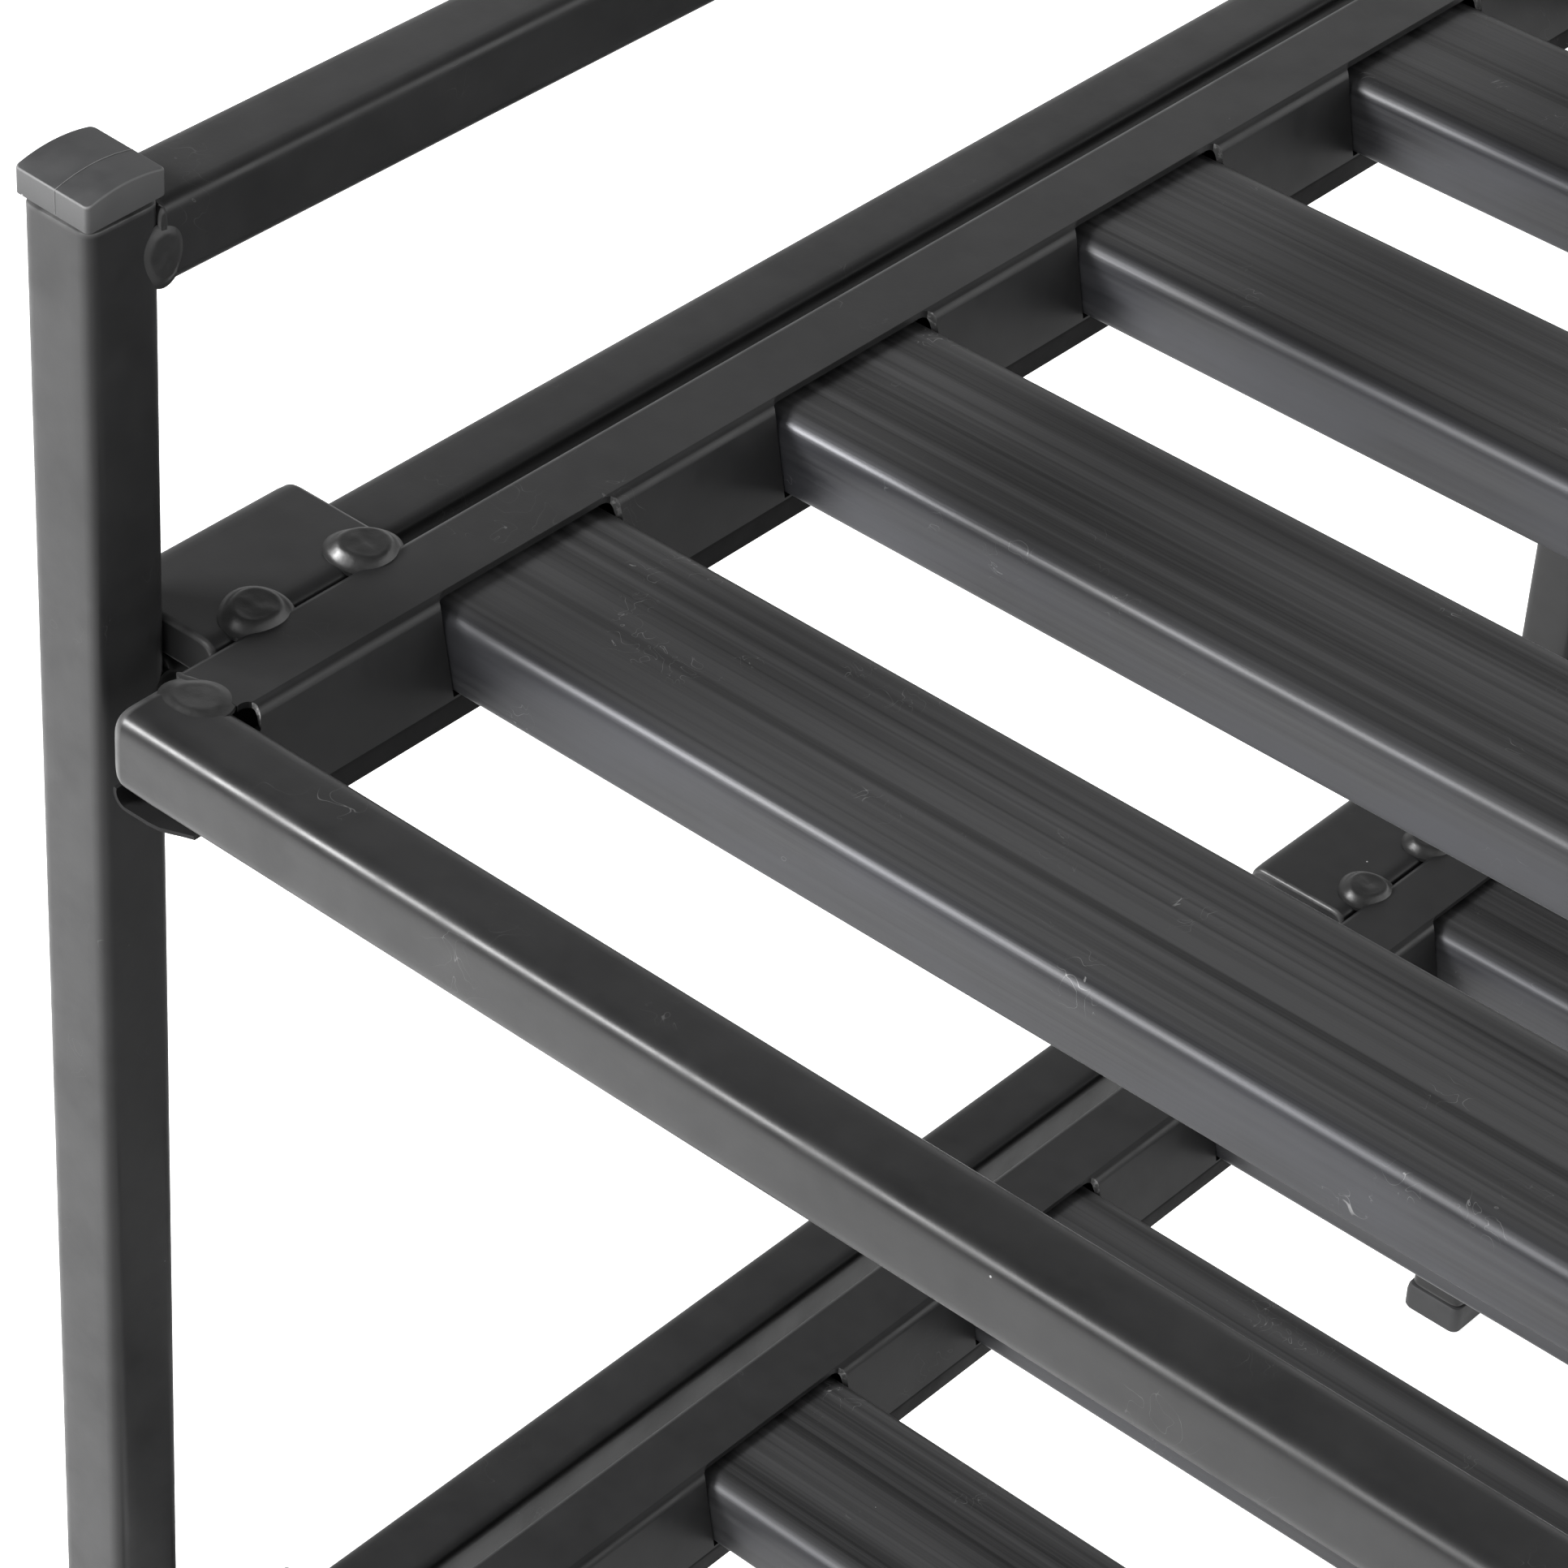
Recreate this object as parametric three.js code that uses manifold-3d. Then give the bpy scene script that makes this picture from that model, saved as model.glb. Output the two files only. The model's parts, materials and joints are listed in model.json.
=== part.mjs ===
// A two-tier folding luggage rack in welded steel tube, in millimetres, +Z up.
// The origin is on the floor, midway between the four feet: +X runs along the
// slats towards the hinge end, +Y runs from the front of the rack to its back.
//
// Two upright end frames carry two slatted shelves. Each shelf is pinned to both
// end frames, so the frames and shelves make a parallelogram: lifting the left
// frame by its high rail swings the shelves up beside the right frame.
import * as THREE from "three";
import { mergeVertices } from "three/addons/utils/BufferGeometryUtils.js";
import Module from "manifold-3d";

const wasm = await Module();
wasm.setup();

// ---- driving dimensions ----
const SHELF_LENGTH = 600; // between the outer faces of a shelf's side rails
const SHELF_DEPTH = 490; // front face to back face of a shelf
const TUBE = 15; // square tube of the posts and rails
const TUBE_RADIUS = 1.6; // corners of the posts and of the rails between them
const SHELF_TUBE_RADIUS = 1.8; // corners of a shelf's front and back rails
const WALL = 1.2;
const WELD_GAP = 0.3; // left between pieces that are welded or rest together

const UPPER_SHELF_TOP = 450;
const LOWER_SHELF_TOP = 199;
const FRAME_GAP = 10.3; // from a shelf's side rail to the posts beside it
const POST_INSET = 8; // posts stand this far inside the shelf's front and back faces
const POST_TOP = 527.7;
const TOP_RAIL_DROP = 0.8; // the high rail's top below the posts' tops
const CROSS_RAIL_DROP = 8; // a cross rail's top below the shelf top beside it

const FOOT_WIDTH = 17;
const FOOT_HEIGHT = 8;
const FOOT_RADIUS = 2;
const PLUG_DEPTH = 12; // how far a cap or a foot reaches into its post
const PLUG_CLEARANCE = 0.3;
const PLUG_RADIUS = 0.6;
const CAP_WIDTH = 16;
const CAP_SIDE = 4.8;
const CAP_CROWN = 1.2;
const CAP_RADIUS = 1.2;

const RAIL_WIDTH = 19.6; // a side rail's width at its widest
const RAIL_HEIGHT = 23;
const FLANGE = 14.07; // flat width of a side rail's top
const FLAP_BOTTOM = 17.3; // depth of the folded flaps between the slats
const RAIL_BEND = 1.5;
const RAIL_HEEL = 4; // large bend along the rail's outer bottom edge
const HEM_RADIUS = 1; // small bend along its inner bottom edge
const HEM_LEAN = 0.4; // that bend's side, inside the rail's widest point
const FLAP_FOOT = [[0.1, 0.9], [0.2, 0]]; // inside RAIL_WIDTH, below FLAP_BOTTOM
const FLAP_BEND = [[1.9, 1.6], [1.2, 0.5]]; // beyond FLANGE, below the shelf top

// The rail's bottom reaches under the front and back rails as a thin curved lip.
const LIP_START = 1; // behind the shelf's front face
const LIP_LENGTH = 15.5;
const LIP_WALL = 0.7;
const LIP_RADIUS = 2.6;
const LIP_SIDE = 0.9; // its upright side above its bend
const LIP_OUTSIDE = [[8, 3.3], [13, 2.2], [17.5, 0.9], [17.5, 0]]; // inwards, down from its top
const LIP_INSIDE = [[17.3, 0], [12.8, 1.5], [8, 2.6]];

const SLAT_COUNT = 5;
const SLAT_WIDTH = 41.7;
const SLAT_HEIGHT = 15;
const SLAT_RADIUS = 2.2;
const SLAT_WALL = 1;
const SLAT_DROP = 2; // a slat's top below the shelf top
const SLAT_END = 3; // from the rail's outer face to a slat's end
const SLAT_START = 58; // first slat behind the shelf's front face
const SLAT_PITCH = 80.7;
const SLOT_CLEARANCE = 0.35; // a slat in its cut-out, each side
const SLOT_REACH = 12; // cut-outs are open for this length beyond the flange
const NOTCH_WIDTH = 3; // gap between a front or back rail and the flap next to it
const NOTCH_DEPTH = 2;
const NOTCH_INSET = 1.4; // how far that gap cuts into the flange
const CUT_SPARE = 1; // cutting shapes stand this far out of the sheet

const BLOCK_WIDTH = 26;
const BLOCK_LENGTH = 41.4;
const BLOCK_WALL = 1.5;
const BLOCK_RADIUS = 2;
const BLOCK_STARTS = [23.4, 368.4]; // behind the shelf's front face

const PIN_INSET = 7; // pin axis inside the side rail's outer face
const PIN_DROP = 13; // pin axis below the shelf top
const PIN_RADIUS = 2.5;
const PIN_CLEARANCE = 0.1;
const RIVET_HEAD_RADIUS = 4;
const RIVET_HEAD = 1.2;
const RIVET_HEAD_EASE = 1;
const LUG_THICKNESS = 4;
const LUG_EYE_RADIUS = 5;
const LUG_ARM = 5;
const EAR_THICKNESS = 2;
const EAR_GAP = 0.5; // beside the lug
const EAR_REACH = 12.5; // inwards from the side rail's outer face
const EAR_DROP = 19; // below the shelf top
const LUG_SLOT_HALF = 3.5; // a lug's slot at its closed end, past the pin axis
const LUG_ROOM = 5; // the slot inwards of the pin axis
const LUG_PLACES = [43, 449]; // behind the shelf's front face

const ARC_STEPS = 3;
const CORNER_STEPS = 1; // three.js doubles this on each rounded corner
const ROUND_STEPS = 16;
const CROWN_STEPS = 6;
const LEAST_RADIUS = 0.4; // inside corners of the tubes
const MERGE_DISTANCE = 1e-5;

// ---- worked out from the driving dimensions ----
const HALF_LENGTH = SHELF_LENGTH / 2;
const FRONT = -SHELF_DEPTH / 2;
const BACK = SHELF_DEPTH / 2;
const POST_X = HALF_LENGTH + FRAME_GAP + TUBE / 2;
const POST_Y = BACK - POST_INSET - TUBE / 2;
const POST_BOTTOM = FOOT_HEIGHT + WELD_GAP;
const EAR_OFFSET = LUG_THICKNESS / 2 + EAR_GAP;
const SHELVES = { upper: UPPER_SHELF_TOP, lower: LOWER_SHELF_TOP };

// ---- materials ----
const paint = { color: 0x35363a, roughness: 0.5, metalness: 0.35 };
const slatPaint = { color: 0x3c3e44, roughness: 0.4, metalness: 0.5 };
const plastic = { color: 0x47484a, roughness: 0.65, metalness: 0.0 };
const zinc = { color: 0x77797c, roughness: 0.35, metalness: 0.8 };

// ---- solids ----
function toSolid(geometry) {
  const bare = geometry.clone();
  bare.deleteAttribute("normal");
  bare.deleteAttribute("uv");
  const merged = mergeVertices(bare, MERGE_DISTANCE);
  return new wasm.Manifold(
    new wasm.Mesh({
      numProp: 3,
      vertProperties: new Float32Array(merged.attributes.position.array),
      triVerts: new Uint32Array(merged.index.array),
    }),
  );
}

function toGeometry(solid) {
  const mesh = solid.getMesh();
  const geometry = new THREE.BufferGeometry();
  geometry.setAttribute("position", new THREE.BufferAttribute(mesh.vertProperties, 3));
  geometry.setIndex(new THREE.BufferAttribute(mesh.triVerts, 1));
  geometry.computeVertexNormals();
  return geometry;
}

function box(width, depth, height, x, y, z) {
  return new THREE.BoxGeometry(width, depth, height).translate(x, y, z);
}

// ---- outlines ----
function roundedRectangle(width, height, radius, Outline = THREE.Shape) {
  const w = width / 2;
  const h = height / 2;
  const outline = new Outline();
  outline.moveTo(w, -h + radius);
  outline.lineTo(w, h - radius);
  outline.absarc(w - radius, h - radius, radius, 0, Math.PI / 2, false);
  outline.absarc(-w + radius, h - radius, radius, Math.PI / 2, Math.PI, false);
  outline.absarc(-w + radius, -h + radius, radius, Math.PI, 1.5 * Math.PI, false);
  outline.absarc(w - radius, -h + radius, radius, 1.5 * Math.PI, 2 * Math.PI, false);
  return outline;
}

function tubeOutline(width, height, radius, wall) {
  const outline = roundedRectangle(width, height, radius);
  const inside = Math.max(radius - wall, LEAST_RADIUS);
  outline.holes.push(roundedRectangle(width - 2 * wall, height - 2 * wall, inside, THREE.Path));
  return outline;
}

function prism(outline, length) {
  const options = { depth: length, bevelEnabled: false, curveSegments: CORNER_STEPS };
  return new THREE.ExtrudeGeometry(outline, options).translate(0, 0, -length / 2);
}

// A prism whose outline lies in X and Z, centred on Y = 0.
function prismAlongY(outline, length) {
  return prism(outline, length).rotateX(Math.PI / 2);
}

// A prism whose outline lies in Y and Z, centred on X = 0.
function prismAlongX(outline, length) {
  return prism(outline, length).rotateX(Math.PI / 2).rotateZ(Math.PI / 2);
}

// The same outline moved inwards by a sheet's thickness; points run anticlockwise.
function inset(points, distance) {
  return points.map((point, i) => {
    const before = points[(i + points.length - 1) % points.length];
    const after = points[(i + 1) % points.length];
    const into = point.clone().sub(before).normalize();
    const out = after.clone().sub(point).normalize();
    const a = new THREE.Vector2(-into.y, into.x);
    const b = new THREE.Vector2(-out.y, out.x);
    const scale = distance / (1 + a.dot(b));
    return point.clone().addScaledVector(a.add(b), scale);
  });
}

function arcPoints(x, y, radius, from, to, steps = ARC_STEPS) {
  const points = [];
  for (let i = 0; i <= steps; i += 1) {
    const angle = THREE.MathUtils.degToRad(from + ((to - from) * i) / steps);
    points.push(new THREE.Vector2(x + radius * Math.cos(angle), y + radius * Math.sin(angle)));
  }
  return points;
}

function corner(x, y) {
  return new THREE.Vector2(x, y);
}

// ---- end frames ----
function post() {
  const length = POST_TOP - POST_BOTTOM;
  return prism(tubeOutline(TUBE, TUBE, TUBE_RADIUS, WALL), length);
}

function frameRail() {
  const length = 2 * POST_Y - TUBE - 2 * WELD_GAP;
  return prismAlongY(tubeOutline(TUBE, TUBE, TUBE_RADIUS, WALL), length);
}

// The part of a cap or a foot that is pushed into the open end of a post.
function plug() {
  const width = TUBE - 2 * WALL - 2 * PLUG_CLEARANCE;
  return toSolid(prism(roundedRectangle(width, width, PLUG_RADIUS), PLUG_DEPTH + CAP_CROWN));
}

// A cap's head is arched from front to back; its underside is at Z = 0.
function cap() {
  const half = CAP_WIDTH / 2;
  const crownRadius = (half * half + CAP_CROWN * CAP_CROWN) / (2 * CAP_CROWN);
  const rise = THREE.MathUtils.radToDeg(Math.asin(half / crownRadius));
  const centre = CAP_SIDE + CAP_CROWN - crownRadius;
  const crown = arcPoints(0, centre, crownRadius, 90 - rise, 90 + rise, CROWN_STEPS);
  const arch = new THREE.Shape([corner(-half, 0), corner(half, 0), ...crown]);
  const head = toSolid(prismAlongX(arch, CAP_WIDTH));
  const sides = toSolid(prism(roundedRectangle(CAP_WIDTH, CAP_WIDTH, CAP_RADIUS), 4 * CAP_WIDTH));
  const stem = plug().translate([0, 0, (CAP_CROWN - PLUG_DEPTH) / 2]);
  return toGeometry(head.intersect(sides).add(stem));
}

// A foot's sole is at Z = 0.
function foot() {
  const sole = toSolid(prism(roundedRectangle(FOOT_WIDTH, FOOT_WIDTH, FOOT_RADIUS), FOOT_HEIGHT));
  const stem = plug().translate([0, 0, FOOT_HEIGHT + (PLUG_DEPTH - CAP_CROWN) / 2]);
  return toGeometry(sole.translate([0, 0, FOOT_HEIGHT / 2]).add(stem));
}

// A hinge lug: an eye round the pin at the origin and an arm out to the cross rail.
function lug() {
  const reach = PIN_INSET + FRAME_GAP - WELD_GAP;
  const lean = THREE.MathUtils.radToDeg(Math.asin(LUG_ARM / 2 / LUG_EYE_RADIUS));
  const eye = arcPoints(0, 0, LUG_EYE_RADIUS, lean, 360 - lean, ROUND_STEPS);
  const outline = new THREE.Shape([...eye, corner(reach, -LUG_ARM / 2), corner(reach, LUG_ARM / 2)]);
  const hole = arcPoints(0, 0, PIN_RADIUS + PIN_CLEARANCE, 0, 360 - 360 / ROUND_STEPS, ROUND_STEPS - 1);
  outline.holes.push(new THREE.Path(hole));
  return prismAlongY(outline, LUG_THICKNESS);
}

// ---- shelves ----
// A side rail's section, with X inwards from its outer face and Y down from the shelf top.
function railSection() {
  return [
    ...arcPoints(RAIL_BEND, -RAIL_BEND, RAIL_BEND, 90, 180),
    ...arcPoints(RAIL_HEEL, RAIL_HEEL - RAIL_HEIGHT, RAIL_HEEL, 180, 270),
    ...arcPoints(RAIL_WIDTH - HEM_LEAN - HEM_RADIUS, HEM_RADIUS - RAIL_HEIGHT, HEM_RADIUS, 270, 355),
    ...FLAP_FOOT.map(([inside, below]) => corner(RAIL_WIDTH - inside, -FLAP_BOTTOM - below)),
    ...FLAP_BEND.map(([beyond, below]) => corner(FLANGE + beyond, -below)),
    corner(FLANGE, 0),
  ];
}

// The thin bottom of a side rail that shows under the end of a front rail.
function lipSection() {
  const under = -TUBE - WELD_GAP;
  const below = (places) => places.map(([inwards, down]) => corner(inwards, under - down));
  return [
    corner(0, under),
    ...arcPoints(LIP_RADIUS, under - LIP_SIDE, LIP_RADIUS, 180, 270),
    ...below(LIP_OUTSIDE),
    ...below(LIP_INSIDE),
    ...arcPoints(LIP_RADIUS, under - LIP_SIDE, LIP_RADIUS - LIP_WALL, 270, 180),
    corner(LIP_WALL, under),
  ];
}

function earOutline() {
  const outline = new THREE.Shape([
    corner(WALL / 2, -WALL / 2),
    corner(WALL / 2, -EAR_DROP),
    corner(EAR_REACH, -EAR_DROP),
    corner(EAR_REACH, -WALL / 2),
  ]);
  const radius = PIN_RADIUS + PIN_CLEARANCE;
  const hole = arcPoints(PIN_INSET, -PIN_DROP, radius, 0, 360 - 360 / ROUND_STEPS, ROUND_STEPS - 1);
  outline.holes.push(new THREE.Path(hole));
  return outline;
}

function railBody() {
  const outer = railSection();
  const channel = new THREE.Shape(outer);
  channel.holes.push(new THREE.Path(inset(outer, WALL)));
  const length = SHELF_DEPTH - 2 * (TUBE + WELD_GAP);
  let rail = toSolid(prismAlongY(channel, length));
  const lip = prismAlongY(new THREE.Shape(lipSection()), LIP_LENGTH);
  const middle = BACK - LIP_START - LIP_LENGTH / 2;
  for (const y of [-middle, middle]) {
    rail = rail.add(toSolid(lip.clone().translate(0, y, 0)));
  }
  return rail;
}

function withSlatSlots(rail) {
  const width = SLAT_WIDTH + 2 * SLOT_CLEARANCE;
  let cut = rail;
  for (let i = 0; i < SLAT_COUNT; i += 1) {
    const y = FRONT + SLAT_START + SLAT_WIDTH / 2 + i * SLAT_PITCH;
    const x = FLANGE + SLOT_REACH / 2;
    const slot = box(SLOT_REACH, width, FLAP_BOTTOM + CUT_SPARE, x, y, (CUT_SPARE - FLAP_BOTTOM) / 2);
    cut = cut.subtract(toSolid(slot));
  }
  // The flap next to a front or back rail stops short of it.
  for (const y of [FRONT + TUBE + 1, BACK - TUBE - 1]) {
    const x = FLANGE + SLOT_REACH / 2 - NOTCH_INSET;
    cut = cut.subtract(toSolid(box(SLOT_REACH, NOTCH_WIDTH, 2 * NOTCH_DEPTH, x, y, 0)));
  }
  return cut;
}

// Ears for the pins, and the slots that let the lugs swing: the left frame's lugs
// swing down past the shelf and the right frame's swing up.
function withHinges(rail, lugsSwingUp) {
  const top = lugsSwingUp ? CUT_SPARE : LUG_SLOT_HALF - PIN_DROP;
  const bottom = lugsSwingUp ? -LUG_SLOT_HALF - PIN_DROP : -RAIL_HEIGHT - CUT_SPARE;
  const reach = PIN_INSET + LUG_ROOM;
  let hinged = rail;
  for (const place of LUG_PLACES) {
    const y = FRONT + place;
    for (const side of [-1, 1]) {
      const ear = prismAlongY(earOutline(), EAR_THICKNESS);
      ear.translate(0, y + side * (EAR_OFFSET + EAR_THICKNESS / 2), 0);
      hinged = hinged.add(toSolid(ear));
    }
    const slot = box(reach + CUT_SPARE, 2 * EAR_OFFSET, top - bottom, 0, 0, 0);
    slot.translate((reach - CUT_SPARE) / 2, y, (top + bottom) / 2);
    hinged = hinged.subtract(toSolid(slot));
  }
  return hinged;
}

function sideRail(isRight) {
  const rail = withHinges(withSlatSlots(railBody()), isRight);
  const placed = rail.translate([-HALF_LENGTH, 0, 0]);
  return toGeometry(isRight ? placed.mirror([1, 0, 0]) : placed);
}

function crossTube() {
  return prismAlongX(tubeOutline(TUBE, TUBE, SHELF_TUBE_RADIUS, WALL), SHELF_LENGTH);
}

function slat() {
  const outline = tubeOutline(SLAT_WIDTH, SLAT_HEIGHT, SLAT_RADIUS, SLAT_WALL);
  return prismAlongX(outline, SHELF_LENGTH - 2 * SLAT_END);
}

// A short flat tube welded to the shelf: it sits on the left frame's cross rail.
function block() {
  const height = CROSS_RAIL_DROP - WELD_GAP;
  return prismAlongY(tubeOutline(BLOCK_WIDTH, height, BLOCK_RADIUS, BLOCK_WALL), BLOCK_LENGTH);
}

// A rivet along Y, with a head outside each ear.
function pin() {
  const shank = EAR_OFFSET + EAR_THICKNESS + PIN_CLEARANCE;
  const end = shank + RIVET_HEAD;
  const profile = [
    corner(0, -end),
    corner(RIVET_HEAD_RADIUS - RIVET_HEAD_EASE, -end),
    corner(RIVET_HEAD_RADIUS, -shank),
    corner(PIN_RADIUS, -shank),
    corner(PIN_RADIUS, shank),
    corner(RIVET_HEAD_RADIUS, shank),
    corner(RIVET_HEAD_RADIUS - RIVET_HEAD_EASE, end),
    corner(0, end),
  ];
  return new THREE.LatheGeometry(profile, ROUND_STEPS);
}

// ---- assembly ----
const rack = new THREE.Group();

function addMesh(name, geometry, look, x, y, z, turn = 0) {
  const mesh = new THREE.Mesh(geometry, new THREE.MeshStandardMaterial(look));
  mesh.name = name;
  mesh.position.set(x, y, z);
  mesh.rotation.z = turn;
  rack.add(mesh);
}

function addEndFrame(side, sign) {
  const x = sign * POST_X;
  for (const [end, y] of [["front", -POST_Y], ["rear", POST_Y]]) {
    addMesh(`${side}_${end}_post`, post(), paint, x, y, (POST_TOP + POST_BOTTOM) / 2);
    addMesh(`${side}_${end}_cap`, cap(), plastic, x, y, POST_TOP + WELD_GAP);
    addMesh(`${side}_${end}_foot`, foot(), plastic, x, y, 0);
  }
  addMesh(`${side}_high_rail`, frameRail(), paint, x, 0, POST_TOP - TOP_RAIL_DROP - TUBE / 2);
  for (const [tier, top] of Object.entries(SHELVES)) {
    addMesh(`${side}_${tier}_cross_rail`, frameRail(), paint, x, 0, top - CROSS_RAIL_DROP - TUBE / 2);
    LUG_PLACES.forEach((place, i) => {
      const end = i === 0 ? "front" : "rear";
      const pinX = sign * (HALF_LENGTH - PIN_INSET);
      const turn = sign > 0 ? 0 : Math.PI;
      addMesh(`${side}_${tier}_${end}_lug`, lug(), paint, pinX, FRONT + place, top - PIN_DROP, turn);
    });
  }
}

function addShelf(tier, top) {
  for (const [end, y] of [["front", FRONT + TUBE / 2], ["rear", BACK - TUBE / 2]]) {
    addMesh(`${tier}_${end}_rail`, crossTube(), paint, 0, y, top - TUBE / 2);
  }
  for (const [side, sign] of [["left", -1], ["right", 1]]) {
    addMesh(`${tier}_${side}_side_rail`, sideRail(sign > 0), paint, 0, 0, top);
    LUG_PLACES.forEach((place, i) => {
      const end = i === 0 ? "front" : "rear";
      const x = sign * (HALF_LENGTH - PIN_INSET);
      addMesh(`${tier}_${side}_${end}_pin`, pin(), zinc, x, FRONT + place, top - PIN_DROP);
    });
  }
  for (let i = 0; i < SLAT_COUNT; i += 1) {
    const y = FRONT + SLAT_START + SLAT_WIDTH / 2 + i * SLAT_PITCH;
    addMesh(`${tier}_slat_${i + 1}`, slat(), slatPaint, 0, y, top - SLAT_DROP - SLAT_HEIGHT / 2);
  }
  BLOCK_STARTS.forEach((start, i) => {
    const end = i === 0 ? "front" : "rear";
    const x = -HALF_LENGTH - WELD_GAP - BLOCK_WIDTH / 2;
    const z = top - (CROSS_RAIL_DROP - WELD_GAP) / 2;
    addMesh(`${tier}_${end}_stop_block`, block(), paint, x, FRONT + start + BLOCK_LENGTH / 2, z);
  });
}

addEndFrame("left", -1);
addEndFrame("right", 1);
for (const [tier, top] of Object.entries(SHELVES)) {
  addShelf(tier, top);
}

export default rack;
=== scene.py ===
import json
import math
import random

import bmesh
import bpy
from mathutils import Euler, Matrix, Vector, noise

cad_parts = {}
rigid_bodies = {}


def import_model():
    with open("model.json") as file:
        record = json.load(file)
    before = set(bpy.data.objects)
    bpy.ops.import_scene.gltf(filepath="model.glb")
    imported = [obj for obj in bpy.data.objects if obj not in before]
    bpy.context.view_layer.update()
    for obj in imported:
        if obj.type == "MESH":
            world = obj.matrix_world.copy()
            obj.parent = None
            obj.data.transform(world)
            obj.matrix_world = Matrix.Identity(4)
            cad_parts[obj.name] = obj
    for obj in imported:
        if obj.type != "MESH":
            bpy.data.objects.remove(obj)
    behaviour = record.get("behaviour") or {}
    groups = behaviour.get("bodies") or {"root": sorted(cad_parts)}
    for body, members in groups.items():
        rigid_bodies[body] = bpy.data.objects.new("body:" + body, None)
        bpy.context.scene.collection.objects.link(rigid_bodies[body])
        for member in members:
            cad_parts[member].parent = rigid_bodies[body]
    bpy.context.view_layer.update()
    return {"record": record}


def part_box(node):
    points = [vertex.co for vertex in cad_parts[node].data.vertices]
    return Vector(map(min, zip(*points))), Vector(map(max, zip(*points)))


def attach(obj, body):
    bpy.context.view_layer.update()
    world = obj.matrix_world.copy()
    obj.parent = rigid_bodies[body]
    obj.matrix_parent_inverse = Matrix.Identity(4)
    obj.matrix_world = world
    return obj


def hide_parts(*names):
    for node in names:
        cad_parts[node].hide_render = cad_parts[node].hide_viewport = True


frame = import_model()

MM = 0.001
BODY_OF = {n: b for b, ns in frame["record"]["behaviour"]["bodies"].items() for n in ns}
SIDES = ("left", "right")
TIERS = ("upper", "lower")
ENDS = ("front", "rear")
SLATS = range(1, 6)

# ---- tubes ----
# A rolled corner is a superellipse: (reach across, reach up, exponent). Most of the turn is
# in its middle, and the rest eases into the flat faces.
TUBE_CORNER = (4.5, 4.5, 4.2)
SHELF_TUBE_CORNER = (5.2, 5.2, 3.4)
SLAT_TOP_CORNER = (7.5, 5.5, 3.5)
SLAT_LOW_CORNER = (3.0, 3.0, 4.6)
BLOCK_CORNER = (4.2, 3.6, 3.0)
CORNER_STEPS = 10
LEAST_REACH = 0.3
TUBE_WALL = 1.2
TUBE_CHAMFER = 0.3
SLAT_WALL = 1.0
SLAT_CHAMFER = 0.2

# ---- folded tube ends ----
SHELF_TUBE_END = 3.0
BLOCK_END = 1.0
FOLD_STEPS = 6
FOLD_REACH = 3  # in end radii: where the corners start to soften towards the fold
FOLD_SOFTENS = 0.5  # how much of the corner's exponent is lost at the fold

# ---- side rails, with u inwards from the outer face and z up from the shelf top ----
RAIL_WIDTH = 19.6
RAIL_HEIGHT = 23.0
RAIL_BEND = 1.5
RAIL_HEEL = 4.0
RAIL_SHEET = 1.2
RAIL_END_GAP = 0.3
FLANGE = 14.07
FLAP_BEND = ((1.95, -2.0), (1.6, -1.15), (1.15, -0.55), (0.6, -0.18), (-0.1, 0))  # from FLANGE
FLAP_BOTTOM = 17.3
FLAP_SLANT = 5.5
HEM_RADIUS = 1.0
HEM_INSET = 1.4
HEM_TOP = ((0.1, -0.9), (0.25, -0.3), (0.35, 0.2))  # in from the width, up from the flap's foot
LIP_LENGTH = 15.5
LIP_WALL = 0.7
LIP_GAP = 0.3
LIP_SETBACK = 1.0
LIP_START = (0.2, 0.2)
LIP_CURL = (3.0, -0.5, 2.9)  # centre and radius
LIP_SWEEP = ((8, -3.3), (10.5, -3.0), (13, -2.2), (15.5, -1.3), (18.4, -0.35))
SLOT_CLEARANCE = 0.35
SLOT_CORNER = 2.6
SLOT_REACH = 12.0
NOTCH_RADIUS = 1.9
NOTCH_DEPTH = 4.0
NOTCH_INSET = 0.9
NOTCH_OFF_TUBE = 1.0
RAIL_CUT_BEVEL = 0.22
CUT_SPARE = 1.0  # how far a cut runs past the metal

# ---- hinges ----
PIN_INSET = 7.0
PIN_DROP = 13.0
PIN_RADIUS = 2.5
PIN_CLEARANCE = 0.1
PIN_HOLE_HALF = 9.0
EAR_THICKNESS = 2.0
EAR_GAP = 0.5
EAR_START = 0.6
EAR_REACH = 12.5
EAR_DROP = 19.0
LUG_THICKNESS = 4.0
LUG_ROOM = 3.5  # above or below the pin's axis
LUG_SLOT_REACH = 5.0
LUG_ARM = 2.5
PLATE_BEVEL = 0.25
RIVET_HEAD = 1.2
RIVET_DOME = (  # distance in from the end, share of the head's radius
    (0.0, 0), (0.02, 0.35), (0.15, 0.62), (0.45, 0.85), (0.8, 0.96), (1.05, 1), (RIVET_HEAD, 0.98),
)

# ---- weld beads: width, length, height ----
RAIL_BEAD = (9.4, 11.5, 0.65)
RAIL_SEAM_BEAD = (2.0, 6.5, 0.35)
CORNER_BEAD = (12.5, 11.0, 0.5)
CORNER_SEAM_BEAD = (13.0, 3.0, 0.2)
BLOCK_BEAD = (12.5, 13.0, 1.9)
BEAD_RINGS = 16
BEAD_STEPS = 40
BEAD_FALL = 0.42  # share of the radius over which the edge falls away
BEAD_SKIRT = 0.8  # how far the edge runs on below the surface
BEAD_DIP = 0.03  # these shares of the height shape the top
BEAD_CREST = 0.04
BEAD_CREST_AT = 0.66
BEAD_RIPPLE = 0.25
BEAD_SWELL = (0.05, 0.035)  # how uneven the outline is, as shares of the radius
RAIL_BEAD_SUNK = 0.15
RAIL_BEAD_BELOW = 1.2
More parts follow.
